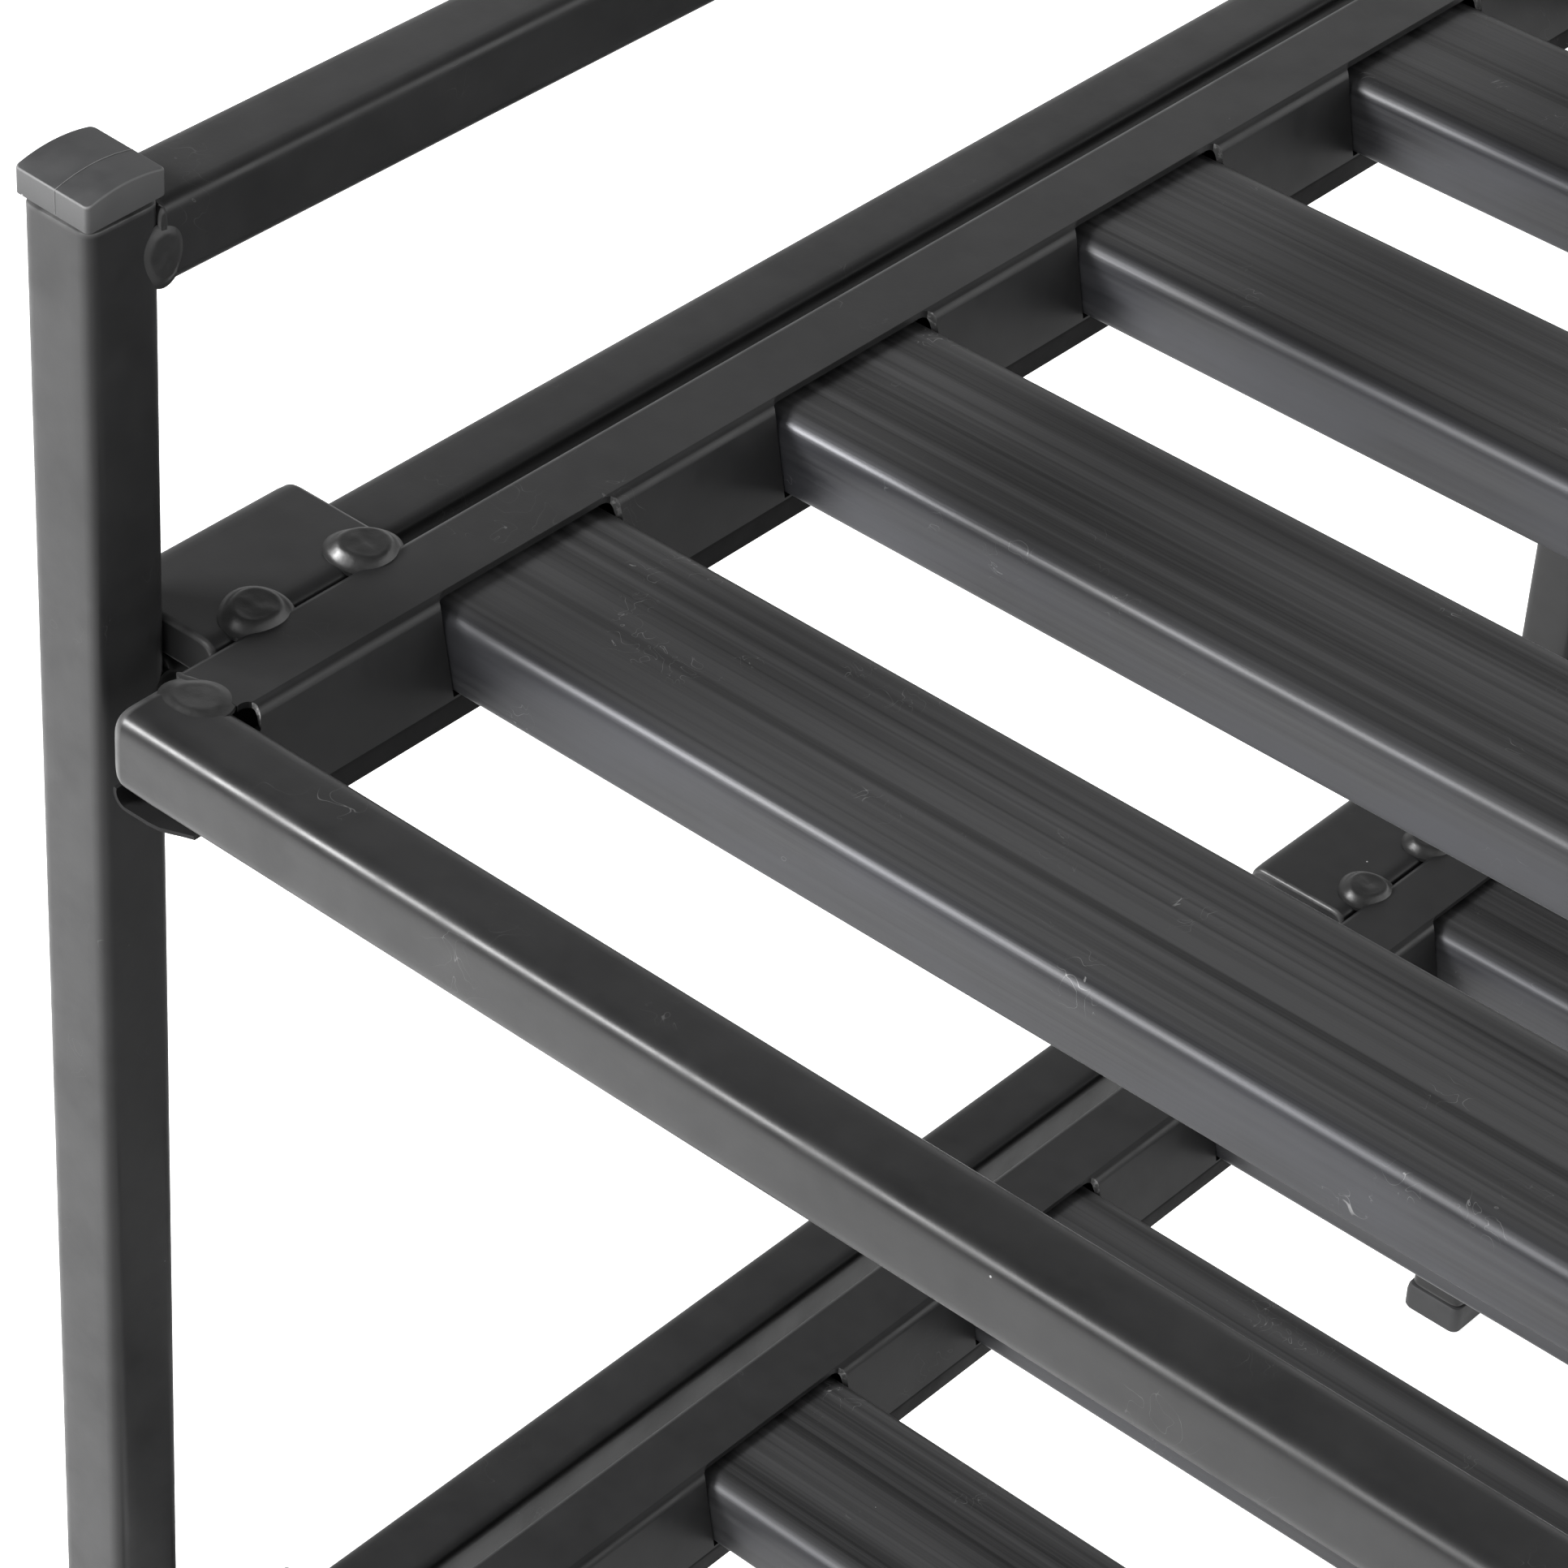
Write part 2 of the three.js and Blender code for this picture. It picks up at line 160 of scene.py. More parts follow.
RAIL_SEAM_ABOVE = 5.2
CORNER_BEAD_IN = 7.4
CORNER_BEAD_OFF_SEAM = 2.6
CORNER_SEAM_SHIFT = 0.6
CORNER_SEAM_SUNK = 0.12
TOP_BEAD_SUNK = 0.1
BLOCK_BEAD_IN = 2.2
BLOCK_BEAD_LEAN = (0.12, 0, 1)
BLOCK_BEAD_SHARES = (0.27, 0.86)  # along the block

# ---- caps and feet ----
CAP_SIDE = 4.8
CAP_CROWN = 1.2
CAP_CORNER = 0.9
CAP_EASE = 0.3
CAP_STEM_SLACK = 4.0
CAP_LIFT = 0.75
CAP_TILT_X = (1.0, 1.8)
CAP_TILT_Y = (1.4, 2.2)
PARTING_X = 0.9
PARTING_RISE = 0.07
PARTING_DEPTH = 0.25
PARTING_FOOT = 0.16
PARTING_TOP = 0.05
FOOT_OUTSIDE = (  # height above the floor, how much narrower than the foot, corner radius
    (0.6, 5.5, 1.6), (0, 4.6, 1.8), (0, 2.0, 2.0), (0.35, 0.8, 2.2), (1.1, 0.1, 2.3),
    (5.6, 0, 2.3), (7.2, 0.5, 2.2), (7.85, 1.3, 2.0), (8.0, 2.4, 1.7),
)
FOOT_SHOULDER = 8.0
FOOT_STEM = 12.0


# ---- boxes of the CAD nodes, in millimetres ----
def node_box(node):
    low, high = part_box(node)
    return low / MM, high / MM


def middle(node):
    low, high = node_box(node)
    return (low + high) / 2


# ---- meshes ----
def mesh_object(name, points, faces, edge=None):
    """edge holds 0 to 1 for each point: how much it lies on a worn or cut edge."""
    mesh = bpy.data.meshes.new(name)
    mesh.from_pydata([Vector(p) * MM for p in points], [], faces)
    mesh.update()
    layer = mesh.attributes.new("edge", "FLOAT", "POINT")
    if edge is not None:
        layer.data.foreach_set("value", edge)
    thing = bpy.data.objects.new(name, mesh)
    bpy.context.scene.collection.objects.link(thing)
    return thing


def face_outwards(thing):
    bm = bmesh.new()
    bm.from_mesh(thing.data)
    bmesh.ops.recalc_face_normals(bm, faces=bm.faces)
    bm.to_mesh(thing.data)
    bm.free()


def move(thing, x, y, z):
    thing.data.transform(Matrix.Translation(Vector((x, y, z)) * MM))


def evaluated_mesh(thing):
    bpy.context.view_layer.update()
    graph = bpy.context.evaluated_depsgraph_get()
    return bpy.data.meshes.new_from_object(thing.evaluated_get(graph))


def apply_modifiers(thing):
    mesh, old = evaluated_mesh(thing), thing.data
    thing.modifiers.clear()
    thing.data = mesh
    mesh.name = thing.name
    bpy.data.meshes.remove(old)


def finish_piece(thing, node, material):
    """Smooth over gentle bends, sharp over creases, in place of its node and on its body."""
    thing.data.materials.clear()
    thing.data.materials.append(material)
    thing.data.shade_smooth()
    thing.data.set_sharp_from_angle(angle=math.radians(38))
    weighted = thing.modifiers.new("flat faces stay flat", "WEIGHTED_NORMAL")
    weighted.keep_sharp = True
    weighted.weight = 80
    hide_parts(node)
    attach(thing, BODY_OF[node])


def loft(rings, edges, closed_chain=False):
    """Points, faces and edge values of a skin over rings of equal length."""
    count = len(rings[0])
    points = [p for ring in rings for p in ring]
    edge = [e for e in edges for _ in range(count)]
    faces = []
    last = len(rings) if closed_chain else len(rings) - 1
    for i in range(last):
        a, b = i * count, ((i + 1) % len(rings)) * count
        for j in range(count):
            k = (j + 1) % count
            faces.append((a + j, a + k, b + k, b + j))
    if not closed_chain:
        faces.append(tuple(reversed(range(count))))
        faces.append(tuple(range(len(points) - count, len(points))))
    return points, faces, edge


def arc(x, y, radius, start, stop, steps):
    out = []
    for i in range(steps + 1):
        angle = math.radians(start + (stop - start) * i / steps)
        out.append((x + radius * math.cos(angle), y + radius * math.sin(angle)))
    return out


def rolled(width, height, top, low=None, shrink=0.0):
    """A rectangle with rolled corners; shrink moves it inwards by a distance."""
    out = []
    for turn, (across, up, power) in enumerate((low or top, top, top, low or top)):
        across, up = max(across - shrink, LEAST_REACH), max(up - shrink, LEAST_REACH)
        right, above = turn in (0, 1), turn in (1, 2)
        quarter = []
        for i in range(CORNER_STEPS + 1):
            angle = math.pi / 2 * i / CORNER_STEPS
            a = across * math.cos(angle) ** (2 / power) if i < CORNER_STEPS else 0.0
            b = up * math.sin(angle) ** (2 / power)
            x = width / 2 - shrink - across + a
            y = height / 2 - shrink - up + b
            quarter.append((x if right else -x, y if above else -y))
        out += quarter if right == above else list(reversed(quarter))
    return out


def placed(outline, along, axis):
    """A flat outline put at a distance along an axis; z stays upwards for X and Y."""
    if axis == "X":
        return [(along, a, b) for a, b in outline]
    if axis == "Y":
        return [(-a, along, b) for a, b in outline]
    return [(a, b, along) for a, b in outline]


def tube_size(node, axis):
    """The node's middle, its length along an axis, and its width and height across it."""
    low, high = node_box(node)
    size = high - low
    i = "XYZ".index(axis)
    width, height = [size[k] for k in range(3) if k != i]
    return (low + high) / 2, size[i], width, height


def tube_object(node, centre, rings, edges, closed_chain):
    tube = mesh_object(f"{node}_tube", *loft(rings, edges, closed_chain))
    face_outwards(tube)
    move(tube, *centre)
    return tube


def open_tube(node, axis, top, low_corner=None, wall=TUBE_WALL, chamfer=TUBE_CHAMFER):
    """A hollow tube that fills a node's box, with its cut ends eased."""
    centre, length, width, height = tube_size(node, axis)
    half = length / 2
    rings, edges = [], []
    for end in (-1, 1):
        steps = [  # distance in from the outside, distance along, wear
            (wall, half - chamfer, 0.0),
            (wall - chamfer * 0.7, half, 1.0),
            (chamfer * 0.8, half, 1.0),
            (chamfer * 0.25, half - chamfer * 0.3, 1.0),
            (0.0, half - chamfer, 0.5),
            (0.0, half - 3 * chamfer, 0.0),
        ]
        if end > 0:
            steps.reverse()
        for shrink, along, edge in steps:
            outline = rolled(width, height, top, low_corner, shrink)
            rings.append(placed(outline, end * along, axis))
            edges.append(edge)
    return tube_object(node, centre, rings, edges, closed_chain=True)


def folded_tube(node, axis, corner, end_radius):
    """A tube that fills a node's box, with its ends folded shut and rounded."""
    centre, length, width, height = tube_size(node, axis)
    half = length / 2
    across, up, power = corner
    rings, edges = [], []
    for end in (-1, 1):
        stations = []  # distance in from the outside, distance along, wear
        for i in range(FOLD_STEPS + 1):
            angle = math.radians(90 * i / FOLD_STEPS)
            shrink = end_radius * (1 - math.sin(angle))
            along = half - end_radius * (1 - math.cos(angle))
            stations.append((shrink, along, 0.5 if 0 < i < FOLD_STEPS else 0.0))
        stations.append((0.0, half - FOLD_REACH * end_radius, 0.0))
        if end > 0:
            stations.reverse()
        for shrink, along, edge in stations:
            folded = max(0.0, 1 - (half - along) / (FOLD_REACH * end_radius))
            softened = (across, up, power - FOLD_SOFTENS * folded)
            outline = rolled(width, height, softened, None, shrink)
            rings.append(placed(outline, end * along, axis))
            edges.append(edge)
    return tube_object(node, centre, rings, edges, closed_chain=False)


def plate(name, outline, hole, thickness):
    """A flat plate in X and Z, thickness along Y, with a hole and eased edges."""
    curve = bpy.data.curves.new(name, "CURVE")
    curve.dimensions = "2D"
    curve.fill_mode = "BOTH"
    curve.extrude = thickness / 2 - PLATE_BEVEL
    curve.bevel_depth = PLATE_BEVEL
    curve.bevel_resolution = 1
    curve.offset = -PLATE_BEVEL
    for loop in (outline, hole):
        spline = curve.splines.new("POLY")
        spline.points.add(len(loop) - 1)
        for point, (a, b) in zip(spline.points, loop):
            point.co = (a, b, 0, 1)
        spline.use_cyclic_u = True
    drawn = bpy.data.objects.new(name + "_outline", curve)
    bpy.context.scene.collection.objects.link(drawn)
    made = evaluated_mesh(drawn)
    bpy.data.objects.remove(drawn)
    bpy.data.curves.remove(curve)
    bm = bmesh.new()
    bm.from_mesh(made)
    bmesh.ops.remove_doubles(bm, verts=bm.verts, dist=0.01)
    bmesh.ops.recalc_face_normals(bm, faces=bm.faces)
    bmesh.ops.rotate(bm, verts=bm.verts, matrix=Matrix.Rotation(math.pi / 2, 3, "X"))
    bmesh.ops.scale(bm, verts=bm.verts, vec=(MM, MM, MM))
    bm.to_mesh(made)
    bm.free()
    made.attributes.new("edge", "FLOAT", "POINT")
    thing = bpy.data.objects.new(name, made)
    bpy.context.scene.collection.objects.link(thing)
    return thing


def box_object(name, low, high):
    spans = list(zip(low, high))
    points = [(x, y, z) for x in spans[0] for y in spans[1] for z in spans[2]]
    faces = [(0, 1, 3, 2), (4, 6, 7, 5), (0, 4, 5, 1), (2, 3, 7, 6), (0, 2, 6, 4), (1, 5, 7, 3)]
    return mesh_object(name, points, faces)


def combine(thing, others, operation):
    """thing joined with or cut by others, which are used up."""
    group = bpy.data.collections.new("tools")
    for other in others:
        face_outwards(other)
        group.objects.link(other)
    tool = thing.modifiers.new("combine", "BOOLEAN")
    tool.operation = operation
    tool.operand_type = "COLLECTION"
    tool.collection = group
    tool.solver = "EXACT"
    tool.use_self = True
    apply_modifiers(thing)
    for other in others:
        mesh = other.data
        bpy.data.objects.remove(other)
        bpy.data.meshes.remove(mesh)
    bpy.data.collections.remove(group)


def lathe(name, profile, axis, steps):
    """profile is (distance along the axis, radius) from one end to the other."""
    rings = []
    for along, radius in profile:
        turns = [2 * math.pi * i / steps for i in range(steps)]
        radius = max(radius, 0.01)
        circle = [(radius * math.cos(turn), radius * math.sin(turn)) for turn in turns]
        rings.append(placed(circle, along, axis))
    thing = mesh_object(name, *loft(rings, [0.0] * len(rings)))
    face_outwards(thing)
    return thing


def prism(name, outline, y0, y1):
    rings = [[(u, y, z) for u, z in outline] for y in (y0, y1)]
    thing = mesh_object(name, *loft(rings, [0.0, 0.0]))
    face_outwards(thing)
    return thing


# ---- side rails ----
def inset(points, distance):
    out = []
    count = len(points)
    for i, here in enumerate(points):
        p = Vector(here)
        into = (p - Vector(points[i - 1])).normalized()
        away = (Vector(points[(i + 1) % count]) - p).normalized()
        a, b = Vector((-into.y, into.x)), Vector((-away.y, away.x))
        out.append(tuple(p + (a + b) * (distance / (1 + a.dot(b)))))
    return out


def rail_section():
    """The folded sheet's outside, anticlockwise."""
    bend = arc(RAIL_BEND, -RAIL_BEND, RAIL_BEND, 90, 180, 6)
    heel = arc(RAIL_HEEL, RAIL_HEEL - RAIL_HEIGHT, RAIL_HEEL, 180, 270, 8)
    hem = arc(RAIL_WIDTH - HEM_INSET, HEM_RADIUS - RAIL_HEIGHT, HEM_RADIUS, 270, 355, 4)
    hem += [(RAIL_WIDTH - u, z - FLAP_BOTTOM) for u, z in HEM_TOP]
    return bend + heel + hem + [(FLANGE + u, z) for u, z in FLAP_BEND]


def lip_section(under):
    """A thin curved tongue under a shelf tube, whose underside is at z = under."""
    u, z, radius = LIP_CURL
    outer = [(LIP_START[0], under + LIP_START[1])] + arc(u, under + z, radius, 180, 262, 7)
    outer += [(u, under + z) for u, z in LIP_SWEEP]
    inner = []
    for i, here in enumerate(outer):
        a = Vector(outer[max(i - 1, 0)])
        b = Vector(outer[min(i + 1, len(outer) - 1)])
        way = (b - a).normalized()
        inner.append(tuple(Vector(here) + Vector((-way.y, way.x)) * LIP_WALL))
    return outer + list(reversed(inner))


def slot_cut(near, far):
    """The space of one slat's cut-out, with its inner corners rounded in plan."""
    r = SLOT_CORNER
    plan = [(FLANGE + SLOT_REACH, near), (FLANGE + SLOT_REACH, far)]
    plan += arc(FLANGE + r, far - r, r, 90, 180, 5) + arc(FLANGE + r, near + r, r, 180, 270, 5)
    rings = [[(u, y, z) for u, y in plan] for z in (-FLAP_BOTTOM + 0.1, CUT_SPARE)]
    return mesh_object("cut", *loft(rings, [0.0, 0.0]))


def rail_lips(front, rear, under):
    starts = (front[0].y + LIP_SETBACK, rear[1].y - LIP_SETBACK - LIP_LENGTH)
    return [prism("lip", lip_section(under), y, y + LIP_LENGTH) for y in starts]


def rail_ears(hinges, slot):
    """Two ears on each hinge, one on each side of the lug's slot."""
    outline = [(EAR_START, -EAR_START), (EAR_START, -EAR_DROP),
               (EAR_REACH, -EAR_DROP), (EAR_REACH, -EAR_START)]
    ears = []
    for y in hinges:
        for way in (-1, 1):
            centre = y + way * (slot + EAR_THICKNESS / 2)
            ears.append(prism("ear", outline, centre - EAR_THICKNESS / 2,
                              centre + EAR_THICKNESS / 2))
    return ears


def rail_cuts(tier, side, front, rear, hinges, slot):
    """Cut-outs for the slats, corner notches, slots for the lugs, and pin holes."""
    cuts = []
    for i in SLATS:
        low, high = node_box(f"{tier}_slat_{i}")
        cuts.append(slot_cut(low.y - SLOT_CLEARANCE, high.y + SLOT_CLEARANCE))
    for y in (front[1].y + NOTCH_OFF_TUBE, rear[0].y - NOTCH_OFF_TUBE):
        wall = [(-NOTCH_DEPTH, NOTCH_RADIUS), (2 * CUT_SPARE, NOTCH_RADIUS)]
        notch = lathe("cut", wall, "Z", 24)
        move(notch, FLANGE + NOTCH_INSET, y, 0)
        cuts.append(notch)
    if side == "right":
        top, bottom = CUT_SPARE, -LUG_ROOM - PIN_DROP
    else:
        top, bottom = LUG_ROOM - PIN_DROP, -RAIL_HEIGHT - CUT_SPARE
    radius = PIN_RADIUS + PIN_CLEARANCE
    for y in hinges:
        cuts.append(box_object("cut", (-CUT_SPARE, y - slot, bottom),
                               (PIN_INSET + LUG_SLOT_REACH, y + slot, top)))
        hole = lathe("hole", [(y - PIN_HOLE_HALF, radius), (y + PIN_HOLE_HALF, radius)], "Y", 32)
        move(hole, PIN_INSET, 0, -PIN_DROP)
        cuts.append(hole)
    return cuts


def side_rail(tier, side):
    node = f"{tier}_{side}_side_rail"
    low, high = node_box(node)
    front, rear = node_box(f"{tier}_front_rail"), node_box(f"{tier}_rear_rail")
    y0, y1 = front[1].y + RAIL_END_GAP, rear[0].y - RAIL_END_GAP
    outer = rail_section()
    inner = inset(outer, RAIL_SHEET)
    walls = ((outer, y0), (outer, y1), (inner, y1), (inner, y0))
    rings = [[(u, y, z) for u, z in ring] for ring, y in walls]
    rail = mesh_object(f"{node}_sheet", *loft(rings, [0.0] * len(rings), closed_chain=True))
    face_outwards(rail)

    hinges = [middle(f"{tier}_{side}_{end}_pin").y for end in ENDS]
    slot = LUG_THICKNESS / 2 + EAR_GAP
    under = front[0].z - high.z - LIP_GAP
    combine(rail, rail_lips(front, rear, under) + rail_ears(hinges, slot), "UNION")
    combine(rail, rail_cuts(tier, side, front, rear, hinges, slot), "DIFFERENCE")

    sign = 1 if side == "left" else -1
    origin = Vector((low.x if side == "left" else high.x, 0, high.z)) * MM
    rail.data.transform(Matrix.Translation(origin) @ Matrix.Diagonal((sign, 1, 1, 1)))
    if sign < 0:
        rail.data.flip_normals()
    bevel = rail.modifiers.new("eased cut edges", "BEVEL")
    bevel.width = RAIL_CUT_BEVEL * MM
    bevel.segments = 2
    bevel.limit_method = "ANGLE"
    bevel.angle_limit = math.radians(50)
    bevel.harden_normals = False
    finish_piece(rail, node, PAINT)
    shade_folds_and_wear_edges(rail, origin / MM, sign)


def shade_folds_and_wear_edges(rail, origin, sign):
    """The sheet's inside and the hem below the flaps get a darker matte paint, painted shade for
    that recess, and its cut edges are worn.
    """
    rail.data.materials.append(FOLD_SHADE_PAINT)
    rail.data.materials.append(CUT_EDGE)
    section = inset(rail_section(), RAIL_SHEET * 0.5)
    left, right = min(u for u, _ in section), max(u for u, _ in section)
    low, high = min(z for _, z in section), max(z for _, z in section)
    for face in rail.data.polygons:
        centre = face.center / MM - origin
        u, z = centre.x * sign, centre.z
        slant = FLAP_SLANT * max(0.0, 1 + z / FLAP_BOTTOM)
        inside = left < u < right - slant and low < z < high
        inwards = face.normal.x * sign
        hem = u > RAIL_WIDTH - 0.8 and z < -FLAP_BOTTOM - 0.1 and inwards > 0.5
        if abs(face.normal.y) > 0.5 and u > FLANGE and z > -FLAP_BOTTOM - 0.5:
            face.material_index = 2
        elif inside or hem:
            # Painted shade: inside faces and the strip below the flaps take the darker matte
            # paint.
            face.material_index = 1


# ---- weld beads ----
def bead(name, centre, normal, size, body, seed, along=(0, 1, 0)):
    """A painted-over weld: a low irregular pool with a softly raised rim."""
    width, length, height = size
    rng = random.Random(seed)
    up = Vector(normal).normalized()
    a = Vector(along).normalized()
    b = up.cross(a)
    wobble = [rng.uniform(0, 2 * math.pi) for _ in range(2)]
    rings = []
    for i in range(BEAD_RINGS + 1):
        t = max(i / BEAD_RINGS, 0.02)
        fall = min(1.0, (1 - min(t, 1)) / BEAD_FALL)
        dome = fall * fall * (3 - 2 * fall)
        dip = BEAD_DIP * math.exp(-((t / 0.4) ** 2))
        crest = BEAD_CREST * math.exp(-(((t - BEAD_CREST_AT) / 0.12) ** 2))
        ring = []
        for j in range(BEAD_STEPS):
            angle = 2 * math.pi * j / BEAD_STEPS
            swell = 1 + BEAD_SWELL[0] * math.sin(2 * angle + wobble[0])
            swell += BEAD_SWELL[1] * math.sin(3 * angle + wobble[1])
            r = t * swell
            spot = Vector((1.6 * r * math.cos(angle), 1.6 * r * math.sin(angle), seed))
            ripple = BEAD_RIPPLE * noise.noise(spot)
            h = height * (dome - dip + crest + ripple * (1 - t))
            ring.append(Vector(centre) + a * (length / 2 * r * math.cos(angle))
                        + b * (width / 2 * r * math.sin(angle)) + up * h)
        rings.append(ring)
    rings.append([p - up * BEAD_SKIRT for p in rings[-1]])
    thing = mesh_object(name, *loft(rings, [0.0] * len(rings)))
    face_outwards(thing)
    thing.data.materials.append(WELD)
    thing.data.shade_smooth()
    thing.data.set_sharp_from_angle(angle=math.radians(70))
    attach(thing, body)


# ---- finishes ----
# Noise scales are in cycles for each metre, and bump heights in metres. Nearly all of a
# noise's values lie between these two.
NOISE_LOW, NOISE_HIGH = 0.3, 0.7
# Bluish tint painted on the slats' front faces as their reflection.
SLAT_PAINTED_SHEEN = (0.037, 0.0379, 0.0433)
FLOOR_DIM_SPOT = (0.3, -0.8, 0.0)


def grey(value):
    return (value, value, value)


class Graph:
    """Short calls for building a material's nodes."""

    def __init__(self, name):
        self.material = bpy.data.materials.new(name)
        self.material.use_nodes = True
        self.tree = self.material.node_tree
        self.shader = self.tree.nodes["Principled BSDF"]
        self.coords = self.tree.nodes.new("ShaderNodeTexCoord").outputs["Object"]

    def link(self, source, target):
        self.tree.links.new(source, target)

    def feed(self, socket, value):
        if isinstance(value, bpy.types.NodeSocket):
            self.link(value, socket)
        else:
            socket.default_value = value

    def node(self, kind, **inputs):
        made = self.tree.nodes.new("ShaderNode" + kind)
        for key, value in inputs.items():
            self.feed(made.inputs[key], value)
        return made

    def finish(self, color, roughness, normal):
        self.link(color, self.shader.inputs["Base Color"])
        self.link(roughness, self.shader.inputs["Roughness"])
        self.link(normal, self.shader.inputs["Normal"])
        return self.material

    def stretched(self, x, y, z):
        return self.node("Mapping", Vector=self.coords, Scale=(x, y, z)).outputs["Vector"]

    def noise(self, vector, scale, detail=3.0, rough=0.5, distortion=0.0):
        made = self.node("TexNoise", Vector=vector, Scale=scale, Detail=detail,
                         Roughness=rough, Distortion=distortion)
        return made.outputs["Fac"]

    def spread(self, value, low, high, to_low=0.0, to_high=1.0):
        made = self.tree.nodes.new("ShaderNodeMapRange")
        made.clamp = True
        for key, item in (("Value", value), ("From Min", low), ("From Max", high),
                          ("To Min", to_low), ("To Max", to_high)):
            self.feed(made.inputs[key], item)
        return made.outputs["Result"]

    def full(self, value, to_low=0.0, to_high=1.0):
        """A noise's whole span put between two values."""
        return self.spread(value, NOISE_LOW, NOISE_HIGH, to_low, to_high)

    def math(self, operation, a, b=None):
        made = self.tree.nodes.new("ShaderNodeMath")
        made.operation = operation
        self.feed(made.inputs[0], a)
        if b is not None:
            self.feed(made.inputs[1], b)
        return made.outputs[0]

    def mix(self, factor, a, b):
        made = self.tree.nodes.new("ShaderNodeMix")
        made.data_type = "RGBA"
        self.feed(made.inputs[0], factor)
        for socket, value in ((made.inputs[6], a), (made.inputs[7], b)):
            self.feed(socket, (*value, 1.0) if isinstance(value, tuple) else value)
        return made.outputs[2]

    def edge(self):
        made = self.tree.nodes.new("ShaderNodeAttribute")
        made.attribute_name = "edge"
        return made.outputs["Fac"]

    def bump(self, height, distance, strength, normal=None):
        made = self.node("Bump", Height=height, Distance=distance, Strength=strength)
        if normal is not None:
            self.link(normal, made.inputs["Normal"])
        return made.outputs["Normal"]

    def specks(self, spacing, size):
        """Tiny scattered dots, one in a cell at most."""
        cells = self.node("TexVoronoi", Vector=self.coords, Scale=1 / spacing)
        pick = self.node("SeparateColor", Color=cells.outputs["Color"])
        radius = self.spread(pick.outputs[0], 0.55, 1.0, 0.0, size / spacing)
        inside = self.math("SUBTRACT", radius, cells.outputs["Distance"])
        return self.spread(inside, 0.0, 0.3 * size / spacing)

    def hairlines(self, scale, width):
        """Thin curly scratches: the level lines of a noise, kept in a few patches."""
        field = self.noise(self.coords, scale, 1.0, 0.5, 1.2)
        near = self.math("ABSOLUTE", self.math("SUBTRACT", field, 0.5))
        line = self.spread(near, width, 0.0)
        patch = self.spread(self.noise(self.coords, scale * 0.23, 2.0), 0.62, 0.68)
        return self.math("MULTIPLY", line, patch)


def even_coat(g, color, roughness, normal):
    """Clouds a few centimetres across and a mottle of a few millimetres."""
    cloud = g.full(g.noise(g.coords, 22.0, 4.0, 0.55))
    mottle = g.full(g.noise(g.coords, 190.0, 4.0, 0.6))
    tone = g.math("ADD", g.math("MULTIPLY", cloud, 0.6), g.math("MULTIPLY", mottle, 0.4))
    base = g.mix(tone, tuple(c * 0.76 for c in color), tuple(c * 1.24 for c in color))
    rough = g.full(g.noise(g.coords, 60.0, 4.0, 0.65), roughness - 0.09, roughness + 0.09)
    return base, rough, normal


def drawn_coat(g, color, roughness, normal):
    """The lengthwise draw marks of a slat, and a bluish painted sheen on its front faces, standing
    in for the reflection there.
    """
    lines = g.noise(g.stretched(2.2, 520.0, 520.0), 1.0, 5.0, 0.6)
    broad = g.noise(g.stretched(1.2, 130.0, 130.0), 1.0, 2.0, 0.5)
    both = g.math("ADD", g.math("MULTIPLY", lines, 0.55), g.math("MULTIPLY", broad, 0.45))
    base = g.mix(g.spread(both, 0.4, 0.6),
                 tuple(c * 0.5 for c in color), tuple(c * 1.5 for c in color))
    # Painted reflection: faces turned to the front take a patchy bluish tint, a sheen painted into
    # the colour.
    coords = g.tree.nodes.new("ShaderNodeTexCoord")
    facing = g.node("SeparateXYZ", Vector=coords.outputs["Normal"])
    front = g.spread(facing.outputs["Y"], -0.1, -0.7, 0.0, 0.75)
    blotch = g.spread(g.noise(g.stretched(30.0, 90.0, 90.0), 1.0), 0.35, 0.65, 0.3, 1.0)
    base = g.mix(g.math("MULTIPLY", front, blotch), base, SLAT_PAINTED_SHEEN)
    rough = g.spread(both, 0.4, 0.6, roughness - 0.08, roughness + 0.1)
    return base, rough, g.bump(both, 0.00022, 0.5, normal)


def painted(name, color, light, roughness, gloss=0.3, metal=0.0, drawn=False, flecks=False):
    """Satin paint, worn to light at edges; drawn is for slats, flecks for bare cut edges."""
    g = Graph(name)
    g.shader.inputs["Metallic"].default_value = metal
    g.shader.inputs["Specular IOR Level"].default_value = gloss
    peel = g.bump(g.noise(g.coords, 1700.0, 2.0), 0.00002, 0.35)
    wave = g.bump(g.noise(g.coords, 70.0, 1.0), 0.00025, 0.35, peel)
    base, rough, normal = (drawn_coat if drawn else even_coat)(g, color, roughness, wave)
    wear = g.math("MULTIPLY", g.edge(), g.full(g.noise(g.coords, 300.0), 0.35, 1.0))
    base = g.mix(wear, base, light)
    if flecks:
        chips = g.spread(g.noise(g.coords, 900.0, 3.0, 0.6), 0.52, 0.62)
        base = g.mix(chips, base, grey(0.2))
    dust = g.specks(spacing=0.011, size=0.00028)
    base = g.mix(g.math("MULTIPLY", dust, 0.75), base, grey(0.35))
    hair = g.hairlines(240.0, 0.006) if drawn else g.hairlines(150.0, 0.003)
    base = g.mix(g.math("MULTIPLY", hair, 0.5 if drawn else 0.2), base, grey(0.3))
    return g.finish(base, rough, normal)


def weld_paint():
    g = Graph("pooled paint over welds")
    g.shader.inputs["Specular IOR Level"].default_value = 0.5
    scale = g.noise(g.coords, 500.0)
    return g.finish(g.mix(scale, grey(0.01), grey(0.016)), g.full(scale, 0.35, 0.45),
                    g.bump(g.noise(g.coords, 650.0, 2.0), 0.0001, 0.5))


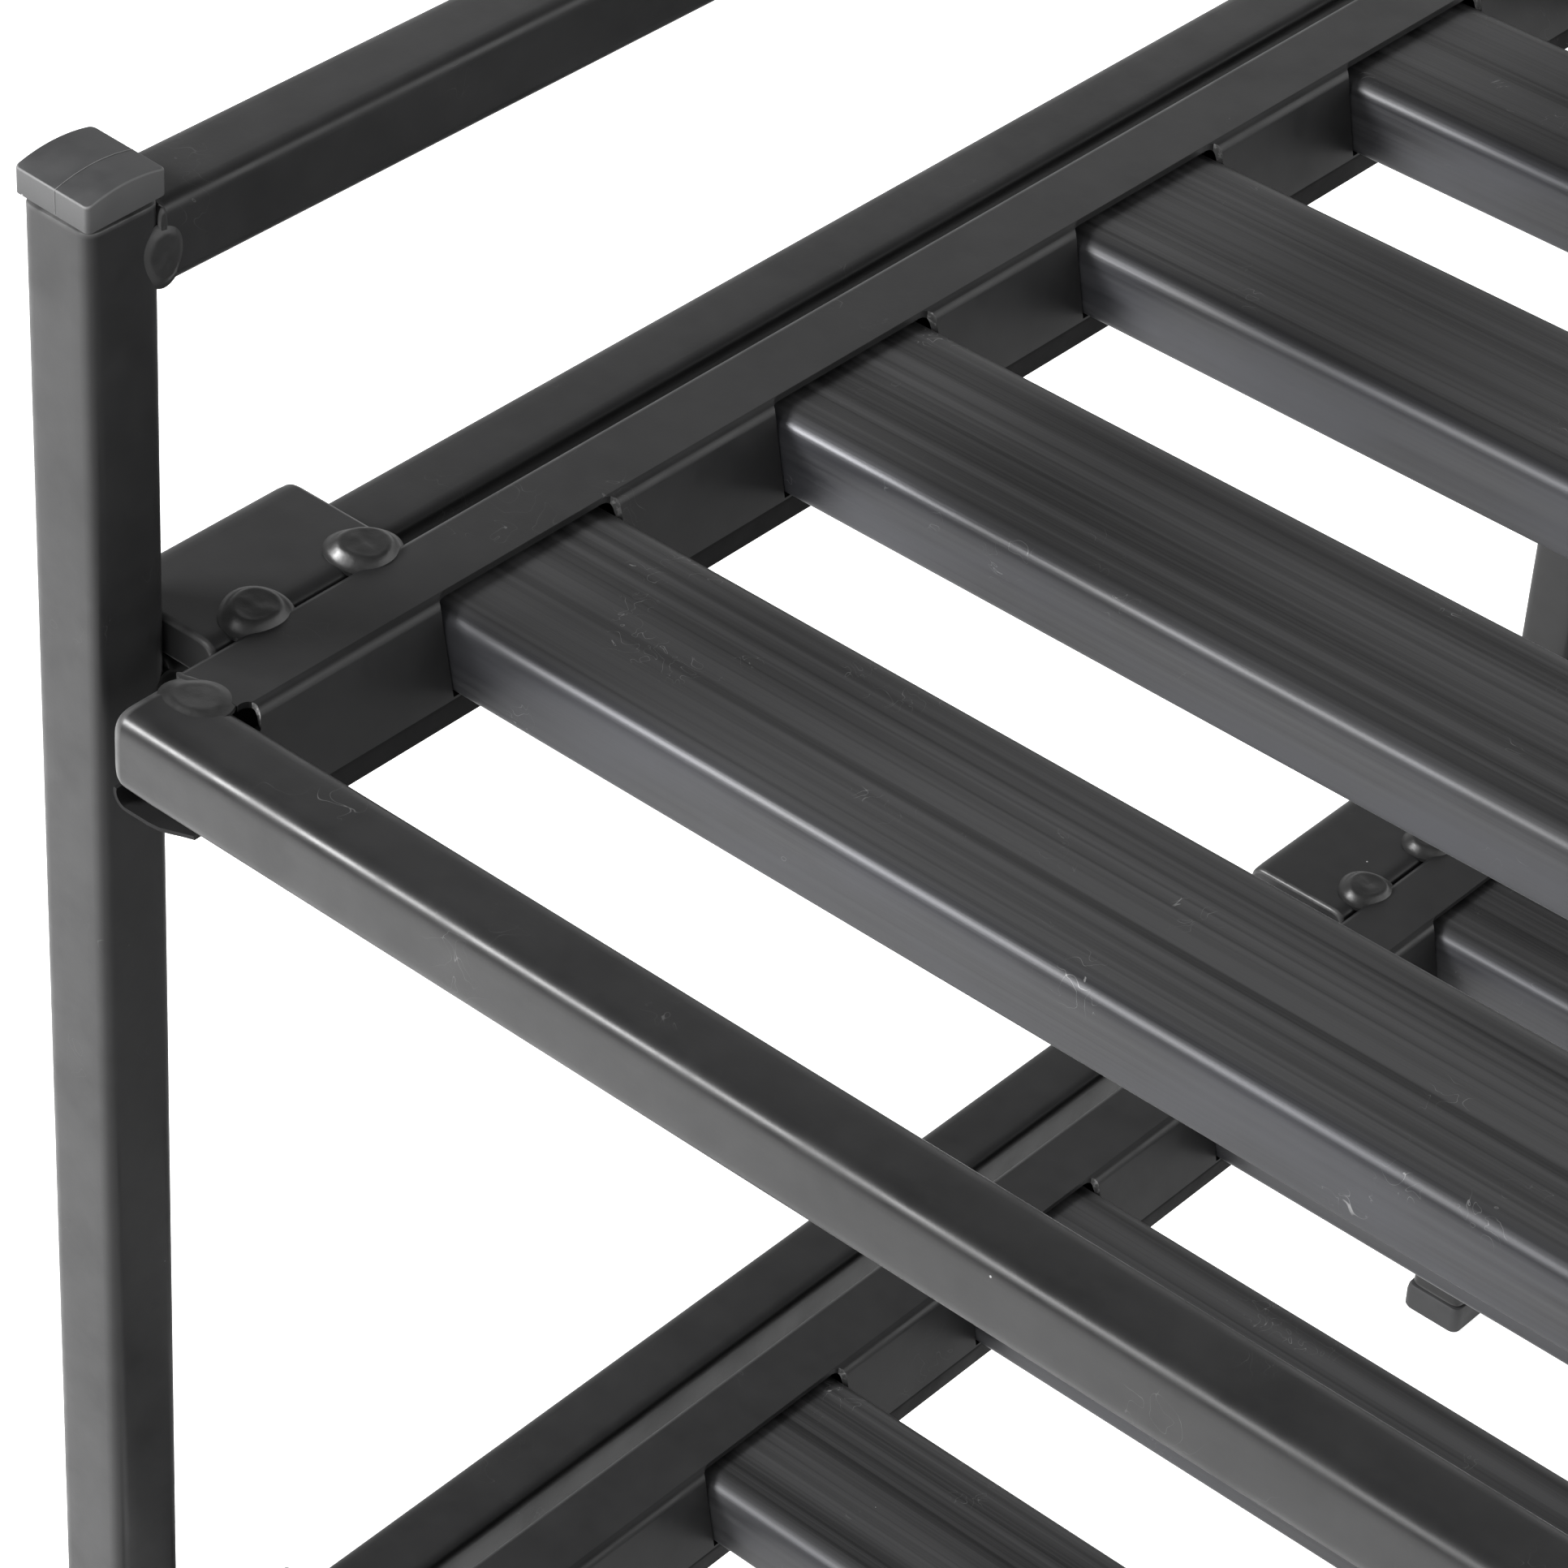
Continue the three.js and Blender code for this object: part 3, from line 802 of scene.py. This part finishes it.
def moulded():
    g = Graph("moulded grey plastic")
    g.shader.inputs["Specular IOR Level"].default_value = 0.4
    cloud = g.full(g.noise(g.coords, 180.0))
    base = g.mix(cloud, (0.02, 0.0203, 0.0212), (0.029, 0.0293, 0.0302))
    base = g.mix(g.math("MULTIPLY", g.edge(), 0.5), base, grey(0.2))
    dust = g.specks(spacing=0.006, size=0.0003)
    base = g.mix(g.math("MULTIPLY", dust, 0.6), base, grey(0.4))
    return g.finish(base, g.spread(cloud, 0.0, 1.0, 0.55, 0.68),
                    g.bump(g.noise(g.coords, 2600.0, 2.0), 0.00003, 0.5))


def zinc():
    g = Graph("zinc plated steel")
    g.shader.inputs["Metallic"].default_value = 1.0
    blotch = g.noise(g.coords, 900.0)
    return g.finish(g.mix(blotch, (0.24, 0.24, 0.23), (0.42, 0.42, 0.41)),
                    g.full(blotch, 0.32, 0.5),
                    g.bump(g.noise(g.coords, 2400.0, 2.0), 0.00003, 0.5))


def pale_floor():
    """Nearly white, and shining a little more away from the front of the rack."""
    g = Graph("pale sweep")
    cloud = g.full(g.noise(g.coords, 3.0, 2.0))
    g.link(g.mix(cloud, grey(0.86), grey(0.88)), g.shader.inputs["Base Color"])
    g.shader.inputs["Roughness"].default_value = 0.9
    g.shader.inputs["Specular IOR Level"].default_value = 0.1
    g.shader.inputs["Emission Color"].default_value = (1, 1, 1, 1)
    away = g.tree.nodes.new("ShaderNodeVectorMath")
    away.operation = "DISTANCE"
    g.feed(away.inputs[0], g.coords)
    g.feed(away.inputs[1], FLOOR_DIM_SPOT)
    glow = g.spread(away.outputs["Value"], 0.3, 0.75, 0.05, 0.36)
    seen = g.tree.nodes.new("ShaderNodeLightPath").outputs["Is Camera Ray"]
    strength = g.math("ADD", glow, g.math("MULTIPLY", seen, 0.5))
    g.link(strength, g.shader.inputs["Emission Strength"])
    return g.material


PAINT = painted("satin dark grey paint", (0.013, 0.013, 0.0133), grey(0.09), 0.39)
SLAT_PAINT = painted("drawn tube lacquer", (0.0295, 0.0296, 0.0303), grey(0.08), 0.43,
                     gloss=0.32, metal=0.33, drawn=True)
# Painted shade: a darker, matter paint for the channel's inside and the strip below the flaps,
# where shade falls.
FOLD_SHADE_PAINT = painted("painted shade inside the folds", (0.009, 0.009, 0.0092), grey(0.05), 0.62,
                    gloss=0.08)
CUT_EDGE = painted("worn cut edges", grey(0.08), grey(0.1), 0.4, flecks=True)
WELD = weld_paint()
PLASTIC = moulded()
ZINC = zinc()


# ---- caps and feet ----
def cap_outline(width):
    """A square with small round corners and points spread along its sides."""
    reach, steps = width / 2 - CAP_CORNER, 12
    out = []
    for turn in range(4):
        spin = Matrix.Rotation(math.pi / 2 * turn, 2)
        side = [(width / 2, -reach + 2 * reach * i / steps) for i in range(steps)]
        side += arc(reach, reach, CAP_CORNER, 0, 75, 5)
        out += [tuple(spin @ Vector(p)) for p in side]
    return out


def cap_body(width, stem_foot, base, arch):
    """A stem in the post, low sides, and a top arched from front to back."""
    outline = cap_outline(width)
    stem, rim = (width - CAP_STEM_SLACK) / width, 1 - 2 * CAP_EASE / width
    flat = ((stem * 0.96, stem_foot), (stem, stem_foot + 1.0), (stem, base), (rim, base),
            (1, base + CAP_EASE))
    rings = [[(x * share, y * share, z) for x, y in outline] for share, z in flat]
    rings.append([(x, y, arch(y) - CAP_EASE) for x, y in outline])
    for turn in (35, 65):
        drop = CAP_EASE * (1 - math.sin(math.radians(turn)))
        share = 1 - 2 * CAP_EASE * (1 - math.cos(math.radians(turn))) / width
        rings.append([(x * share, y * share, arch(y * share) - drop) for x, y in outline])
    for share in (rim, 0.85, 0.6, 0.35, 0.05):
        rings.append([(x * share, y * share, arch(y * share)) for x, y in outline])
    return loft(rings, [0.0] * 4 + [0.2, 0.4, 0.9, 0.7] + [0.0] * 5)


def parting_line(width, base, arch):
    """A fine ridge up the front, over the top and down the back."""
    half = width / 2
    side = half + PARTING_RISE
    up = (base + 0.6, base + 2.6, arch(half) - 0.2)
    path = [(-side, z) for z in up]
    path += [(y, arch(y) + PARTING_RISE)
             for y in [half * (-0.97 + 1.94 * i / 14) for i in range(15)]]
    path += [(side, z) for z in reversed(up)]
    rings = []
    for k, (y, z) in enumerate(path):
        a, b = Vector(path[max(k - 1, 0)]), Vector(path[min(k + 1, len(path) - 1)])
        way = (b - a).normalized()
        foot_y = y + way.y * PARTING_DEPTH
        foot_z = z - way.x * PARTING_DEPTH
        rings.append([
            (PARTING_X - PARTING_FOOT, foot_y, foot_z), (PARTING_X - PARTING_TOP, y, z),
            (PARTING_X + PARTING_TOP, y, z), (PARTING_X + PARTING_FOOT, foot_y, foot_z),
        ])
    return loft(rings, [0.8] * len(rings))


def cap(node):
    """A moulded cap, pressed in slightly askew."""
    low, high = node_box(node)
    centre = (low + high) / 2
    width = high.x - low.x
    base = high.z - CAP_SIDE - CAP_CROWN

    def arch(y):
        return base + CAP_SIDE + CAP_CROWN * (1 - (2 * y / width) ** 2)

    points, faces, edge = cap_body(width, low.z, base, arch)
    more_points, more_faces, more_edge = parting_line(width, base, arch)
    start = len(points)
    faces += [tuple(start + k for k in face) for face in more_faces]
    thing = mesh_object(f"{node}_moulding", points + more_points, faces, edge + more_edge)
    face_outwards(thing)
    rng = random.Random(node)
    about_x = math.radians(rng.uniform(*CAP_TILT_X))
    about_y = math.radians(rng.uniform(*CAP_TILT_Y))
    tilt = Euler((about_x, about_y, 0)).to_matrix()
    pivot = Matrix.Translation(Vector((0, 0, base)) * MM)
    place = Matrix.Translation(Vector((centre.x, centre.y, CAP_LIFT)) * MM)
    thing.data.transform(place @ pivot @ tilt.to_4x4() @ pivot.inverted())
    finish_piece(thing, node, PLASTIC)


def foot(node):
    low, high = node_box(node)
    width = high.x - low.x
    profile = [(low.z + rise, width - less, r) for rise, less, r in FOOT_OUTSIDE]
    profile += [(low.z + FOOT_SHOULDER, FOOT_STEM, 0.8), (high.z - 0.8, FOOT_STEM, 0.8),
                (high.z, FOOT_STEM - 1.2, 0.6)]
    rings = [placed(rolled(w, w, (r, r, 2.0)), z, "Z") for z, w, r in profile]
    thing = mesh_object(f"{node}_moulding", *loft(rings, [0.0] * len(rings)))
    face_outwards(thing)
    centre = (low + high) / 2
    move(thing, centre.x, centre.y, 0)
    finish_piece(thing, node, PLASTIC)


# ---- hinges ----
def lug(node, side):
    """A round eye on a short arm that reaches to the cross rail."""
    low, high = node_box(node)
    eye = (high.z - low.z) / 2
    pin = (low.x + eye) if side == "right" else (high.x - eye)
    reach = (high.x - low.x) - eye
    lean = math.degrees(math.asin(LUG_ARM / eye))
    outline = arc(0, 0, eye, lean, 360 - lean, 40) + [(reach, -LUG_ARM), (reach, LUG_ARM)]
    hole = arc(0, 0, PIN_RADIUS + PIN_CLEARANCE, 0, 360 - 360 / 32, 31)
    thing = plate(f"{node}_plate", outline, hole, high.y - low.y)
    turn = Matrix.Identity(4) if side == "right" else Matrix.Rotation(math.pi, 4, "Z")
    place = Vector((pin, (low.y + high.y) / 2, (low.z + high.z) / 2)) * MM
    thing.data.transform(Matrix.Translation(place) @ turn)
    finish_piece(thing, node, PAINT)


def rivet(node):
    """A pin with a domed head on each end."""
    low, high = node_box(node)
    half = (high.y - low.y) / 2
    radius = (high.x - low.x) / 2
    head = [(along, radius * share) for along, share in RIVET_DOME]
    head.append((RIVET_HEAD + 0.01, PIN_RADIUS))
    profile = [(-half + a, r) for a, r in head] + [(half - a, r) for a, r in reversed(head)]
    thing = lathe(f"{node}_rivet", profile, "Y", 40)
    move(thing, *((low + high) / 2))
    finish_piece(thing, node, ZINC)


# ---- build ----
def rail_beads(rail, side):
    """A weld on the inner and outer face of each end of a rail, with a seam on high rails."""
    low, high = node_box(rail)
    is_high = rail.endswith("high_rail")
    below = RAIL_BEAD_BELOW if is_high else 0
    faces = (("inner", high.x), ("outer", low.x))
    if side == "right":
        faces = (("inner", low.x), ("outer", high.x))
    for end, y in (("front", low.y - RAIL_BEAD_SUNK), ("rear", high.y + RAIL_BEAD_SUNK)):
        for face, x in faces:
            way = (1 if x > (low.x + high.x) / 2 else -1, 0, 0)
            seed = len(bpy.data.objects)
            centre = Vector((x - way[0] * RAIL_BEAD_SUNK, y, (low.z + high.z) / 2 - below))
            bead(f"{rail}_{end}_{face}_weld", centre, way, RAIL_BEAD, BODY_OF[rail], seed,
                 (0, 0, 1))
            if is_high:
                bead(f"{rail}_{end}_{face}_seam", centre + Vector((0, 0, RAIL_SEAM_ABOVE)),
                     way, RAIL_SEAM_BEAD, BODY_OF[rail], seed, (0, 0, 1))


def end_frame(side):
    for end in ENDS:
        post = f"{side}_{end}_post"
        finish_piece(open_tube(post, "Z", TUBE_CORNER), post, PAINT)
        cap(f"{side}_{end}_cap")
        foot(f"{side}_{end}_foot")
    for rail in (f"{side}_high_rail", f"{side}_upper_cross_rail", f"{side}_lower_cross_rail"):
        finish_piece(open_tube(rail, "Y", TUBE_CORNER), rail, PAINT)
        rail_beads(rail, side)
    for tier in TIERS:
        for end in ENDS:
            lug(f"{side}_{tier}_{end}_lug", side)


def corner_beads(tier, end, low, high):
    """The welds on top, where a shelf tube meets the side rails."""
    seam = high.y if end == "front" else low.y
    off_seam = -CORNER_BEAD_OFF_SEAM if end == "front" else CORNER_BEAD_OFF_SEAM
    body = f"{tier}_shelf"
    for side, sign in (("left", 1), ("right", -1)):
        x = (low.x if sign > 0 else high.x) + sign * CORNER_BEAD_IN
        name = f"{tier}_{side}_{end}"
        bead(f"{name}_corner_weld", (x, seam + off_seam, high.z - TOP_BEAD_SUNK), (0, 0, 1),
             CORNER_BEAD, body, 11 + len(bpy.data.objects))
        place = (x - sign * CORNER_SEAM_SHIFT, seam, high.z - CORNER_SEAM_SUNK)
        bead(f"{name}_seam_weld", place, (0, 0, 1), CORNER_SEAM_BEAD, body,
             12 + len(bpy.data.objects))


def stop_block(tier, end):
    """A flat block that rests on the left frame, with two welds to the side rail."""
    node = f"{tier}_{end}_stop_block"
    finish_piece(folded_tube(node, "Y", BLOCK_CORNER, BLOCK_END), node, PAINT)
    low, high = node_box(node)
    for k, share in enumerate(BLOCK_BEAD_SHARES):
        y = low.y + share * (high.y - low.y)
        centre = (high.x - BLOCK_BEAD_IN, y, high.z - TOP_BEAD_SUNK)
        bead(f"{node}_weld_{k + 1}", centre, BLOCK_BEAD_LEAN, BLOCK_BEAD, f"{tier}_shelf",
             40 + k + len(bpy.data.objects))


def shelf(tier):
    for end in ENDS:
        node = f"{tier}_{end}_rail"
        tube = folded_tube(node, "X", SHELF_TUBE_CORNER, SHELF_TUBE_END)
        finish_piece(tube, node, PAINT)
        corner_beads(tier, end, *node_box(node))
    for side in SIDES:
        side_rail(tier, side)
        for end in ENDS:
            rivet(f"{tier}_{side}_{end}_pin")
    for i in SLATS:
        node = f"{tier}_slat_{i}"
        tube = open_tube(node, "X", SLAT_TOP_CORNER, SLAT_LOW_CORNER, SLAT_WALL, SLAT_CHAMFER)
        finish_piece(tube, node, SLAT_PAINT)
    for end in ENDS:
        stop_block(tier, end)


for side in SIDES:
    end_frame(side)
for tier in TIERS:
    shelf(tier)


# ---- floor, light and camera ----
CORNER = (-0.3, -0.245, 0.45)  # the corner that the photograph shows
FLOOR_REACH = 6000.0
ROOM_FRONT = 0.08  # strengths of the room's light
ROOM_SWEEP = 1.1
ROOM_SIDE = 1.9
CAMERA_PLACE = (0.216, -0.716, 0.975)
CAMERA_DOWN = 37.5
CAMERA_TURN = 38.95
CAMERA_ROLL = 4.0
CAMERA_LENS = 129.0


def area_light(name, place, aim, size, power):
    lamp = bpy.data.lights.new(name, "AREA")
    lamp.shape = "RECTANGLE"
    lamp.size, lamp.size_y = size
    lamp.energy = power
    thing = bpy.data.objects.new(name, lamp)
    thing.location = place
    thing.rotation_euler = (Vector(aim) - Vector(place)).to_track_quat("-Z", "Y").to_euler()
    bpy.context.scene.collection.objects.link(thing)


def floor():
    reach = FLOOR_REACH
    points = [(-reach, -reach, 0), (reach, -reach, 0), (reach, reach, 0), (-reach, reach, 0)]
    ground = mesh_object("floor", points, [(0, 1, 2, 3)])
    ground.location.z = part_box("left_front_foot")[0].z - 0.0002
    ground.data.materials.append(pale_floor())


def studio_room():
    """White to the eye. As light: a dim room, brighter low down at the back and the right."""
    world = bpy.data.worlds.new("studio")
    world.use_nodes = True
    tree = world.node_tree

    def ramp(value, start, stop, low, high):
        made = tree.nodes.new("ShaderNodeMapRange")
        tree.links.new(value, made.inputs["Value"])
        for key, number in (("From Min", start), ("From Max", stop),
                            ("To Min", low), ("To Max", high)):
            made.inputs[key].default_value = number
        return made.outputs["Result"]

    def joined(operation, a, b):
        made = tree.nodes.new("ShaderNodeMath")
        made.operation = operation
        tree.links.new(a, made.inputs[0])
        tree.links.new(b, made.inputs[1])
        return made.outputs[0]

    coords = tree.nodes.new("ShaderNodeTexCoord")
    way = tree.nodes.new("ShaderNodeSeparateXYZ")
    tree.links.new(coords.outputs["Generated"], way.inputs[0])
    x, y, z = (way.outputs[k] for k in "XYZ")
    low_down = ramp(z, 0.4, 0.6, 1.0, 0.0)
    back = joined("MULTIPLY", ramp(y, 0.1, 0.7, 0.0, ROOM_SWEEP), low_down)
    right = joined("MULTIPLY", ramp(x, 0.1, 0.8, 0.0, ROOM_SIDE), low_down)
    front = ramp(z, 0.0, 0.8, ROOM_FRONT, 2 * ROOM_FRONT)
    room = joined("ADD", joined("ADD", back, right), front)
    sight = tree.nodes.new("ShaderNodeLightPath")
    choice = tree.nodes.new("ShaderNodeMix")
    tree.links.new(sight.outputs["Is Camera Ray"], choice.inputs[0])
    tree.links.new(room, choice.inputs[2])
    choice.inputs[3].default_value = 1.0
    background = tree.nodes["Background"]
    background.inputs["Color"].default_value = (1, 1, 1, 1)
    tree.links.new(choice.outputs[0], background.inputs["Strength"])
    bpy.context.scene.world = world


floor()
studio_room()
area_light("softbox", place=(-1.28, -1.16, 1.31), aim=CORNER, size=(0.6, 0.41), power=62.0)
area_light("table_bounce", place=(-0.6, -1.3, 1.0), aim=(-0.5, -0.9, 0.0), size=(0.8, 0.8),
           power=14.0)

camera_data = bpy.data.cameras.new("camera")
camera_data.sensor_width = 36.0
camera_data.lens = CAMERA_LENS
camera_data.clip_start, camera_data.clip_end = 0.05, 50.0
camera = bpy.data.objects.new("camera", camera_data)
camera.location = CAMERA_PLACE
aim = Euler((math.radians(90 - CAMERA_DOWN), 0, math.radians(CAMERA_TURN))).to_matrix()
roll = Matrix.Rotation(math.radians(CAMERA_ROLL), 3, "Z")
camera.rotation_euler = (aim @ roll).to_euler()
bpy.context.scene.collection.objects.link(camera)
bpy.context.scene.camera = camera
bpy.context.scene.view_settings.view_transform = "Standard"
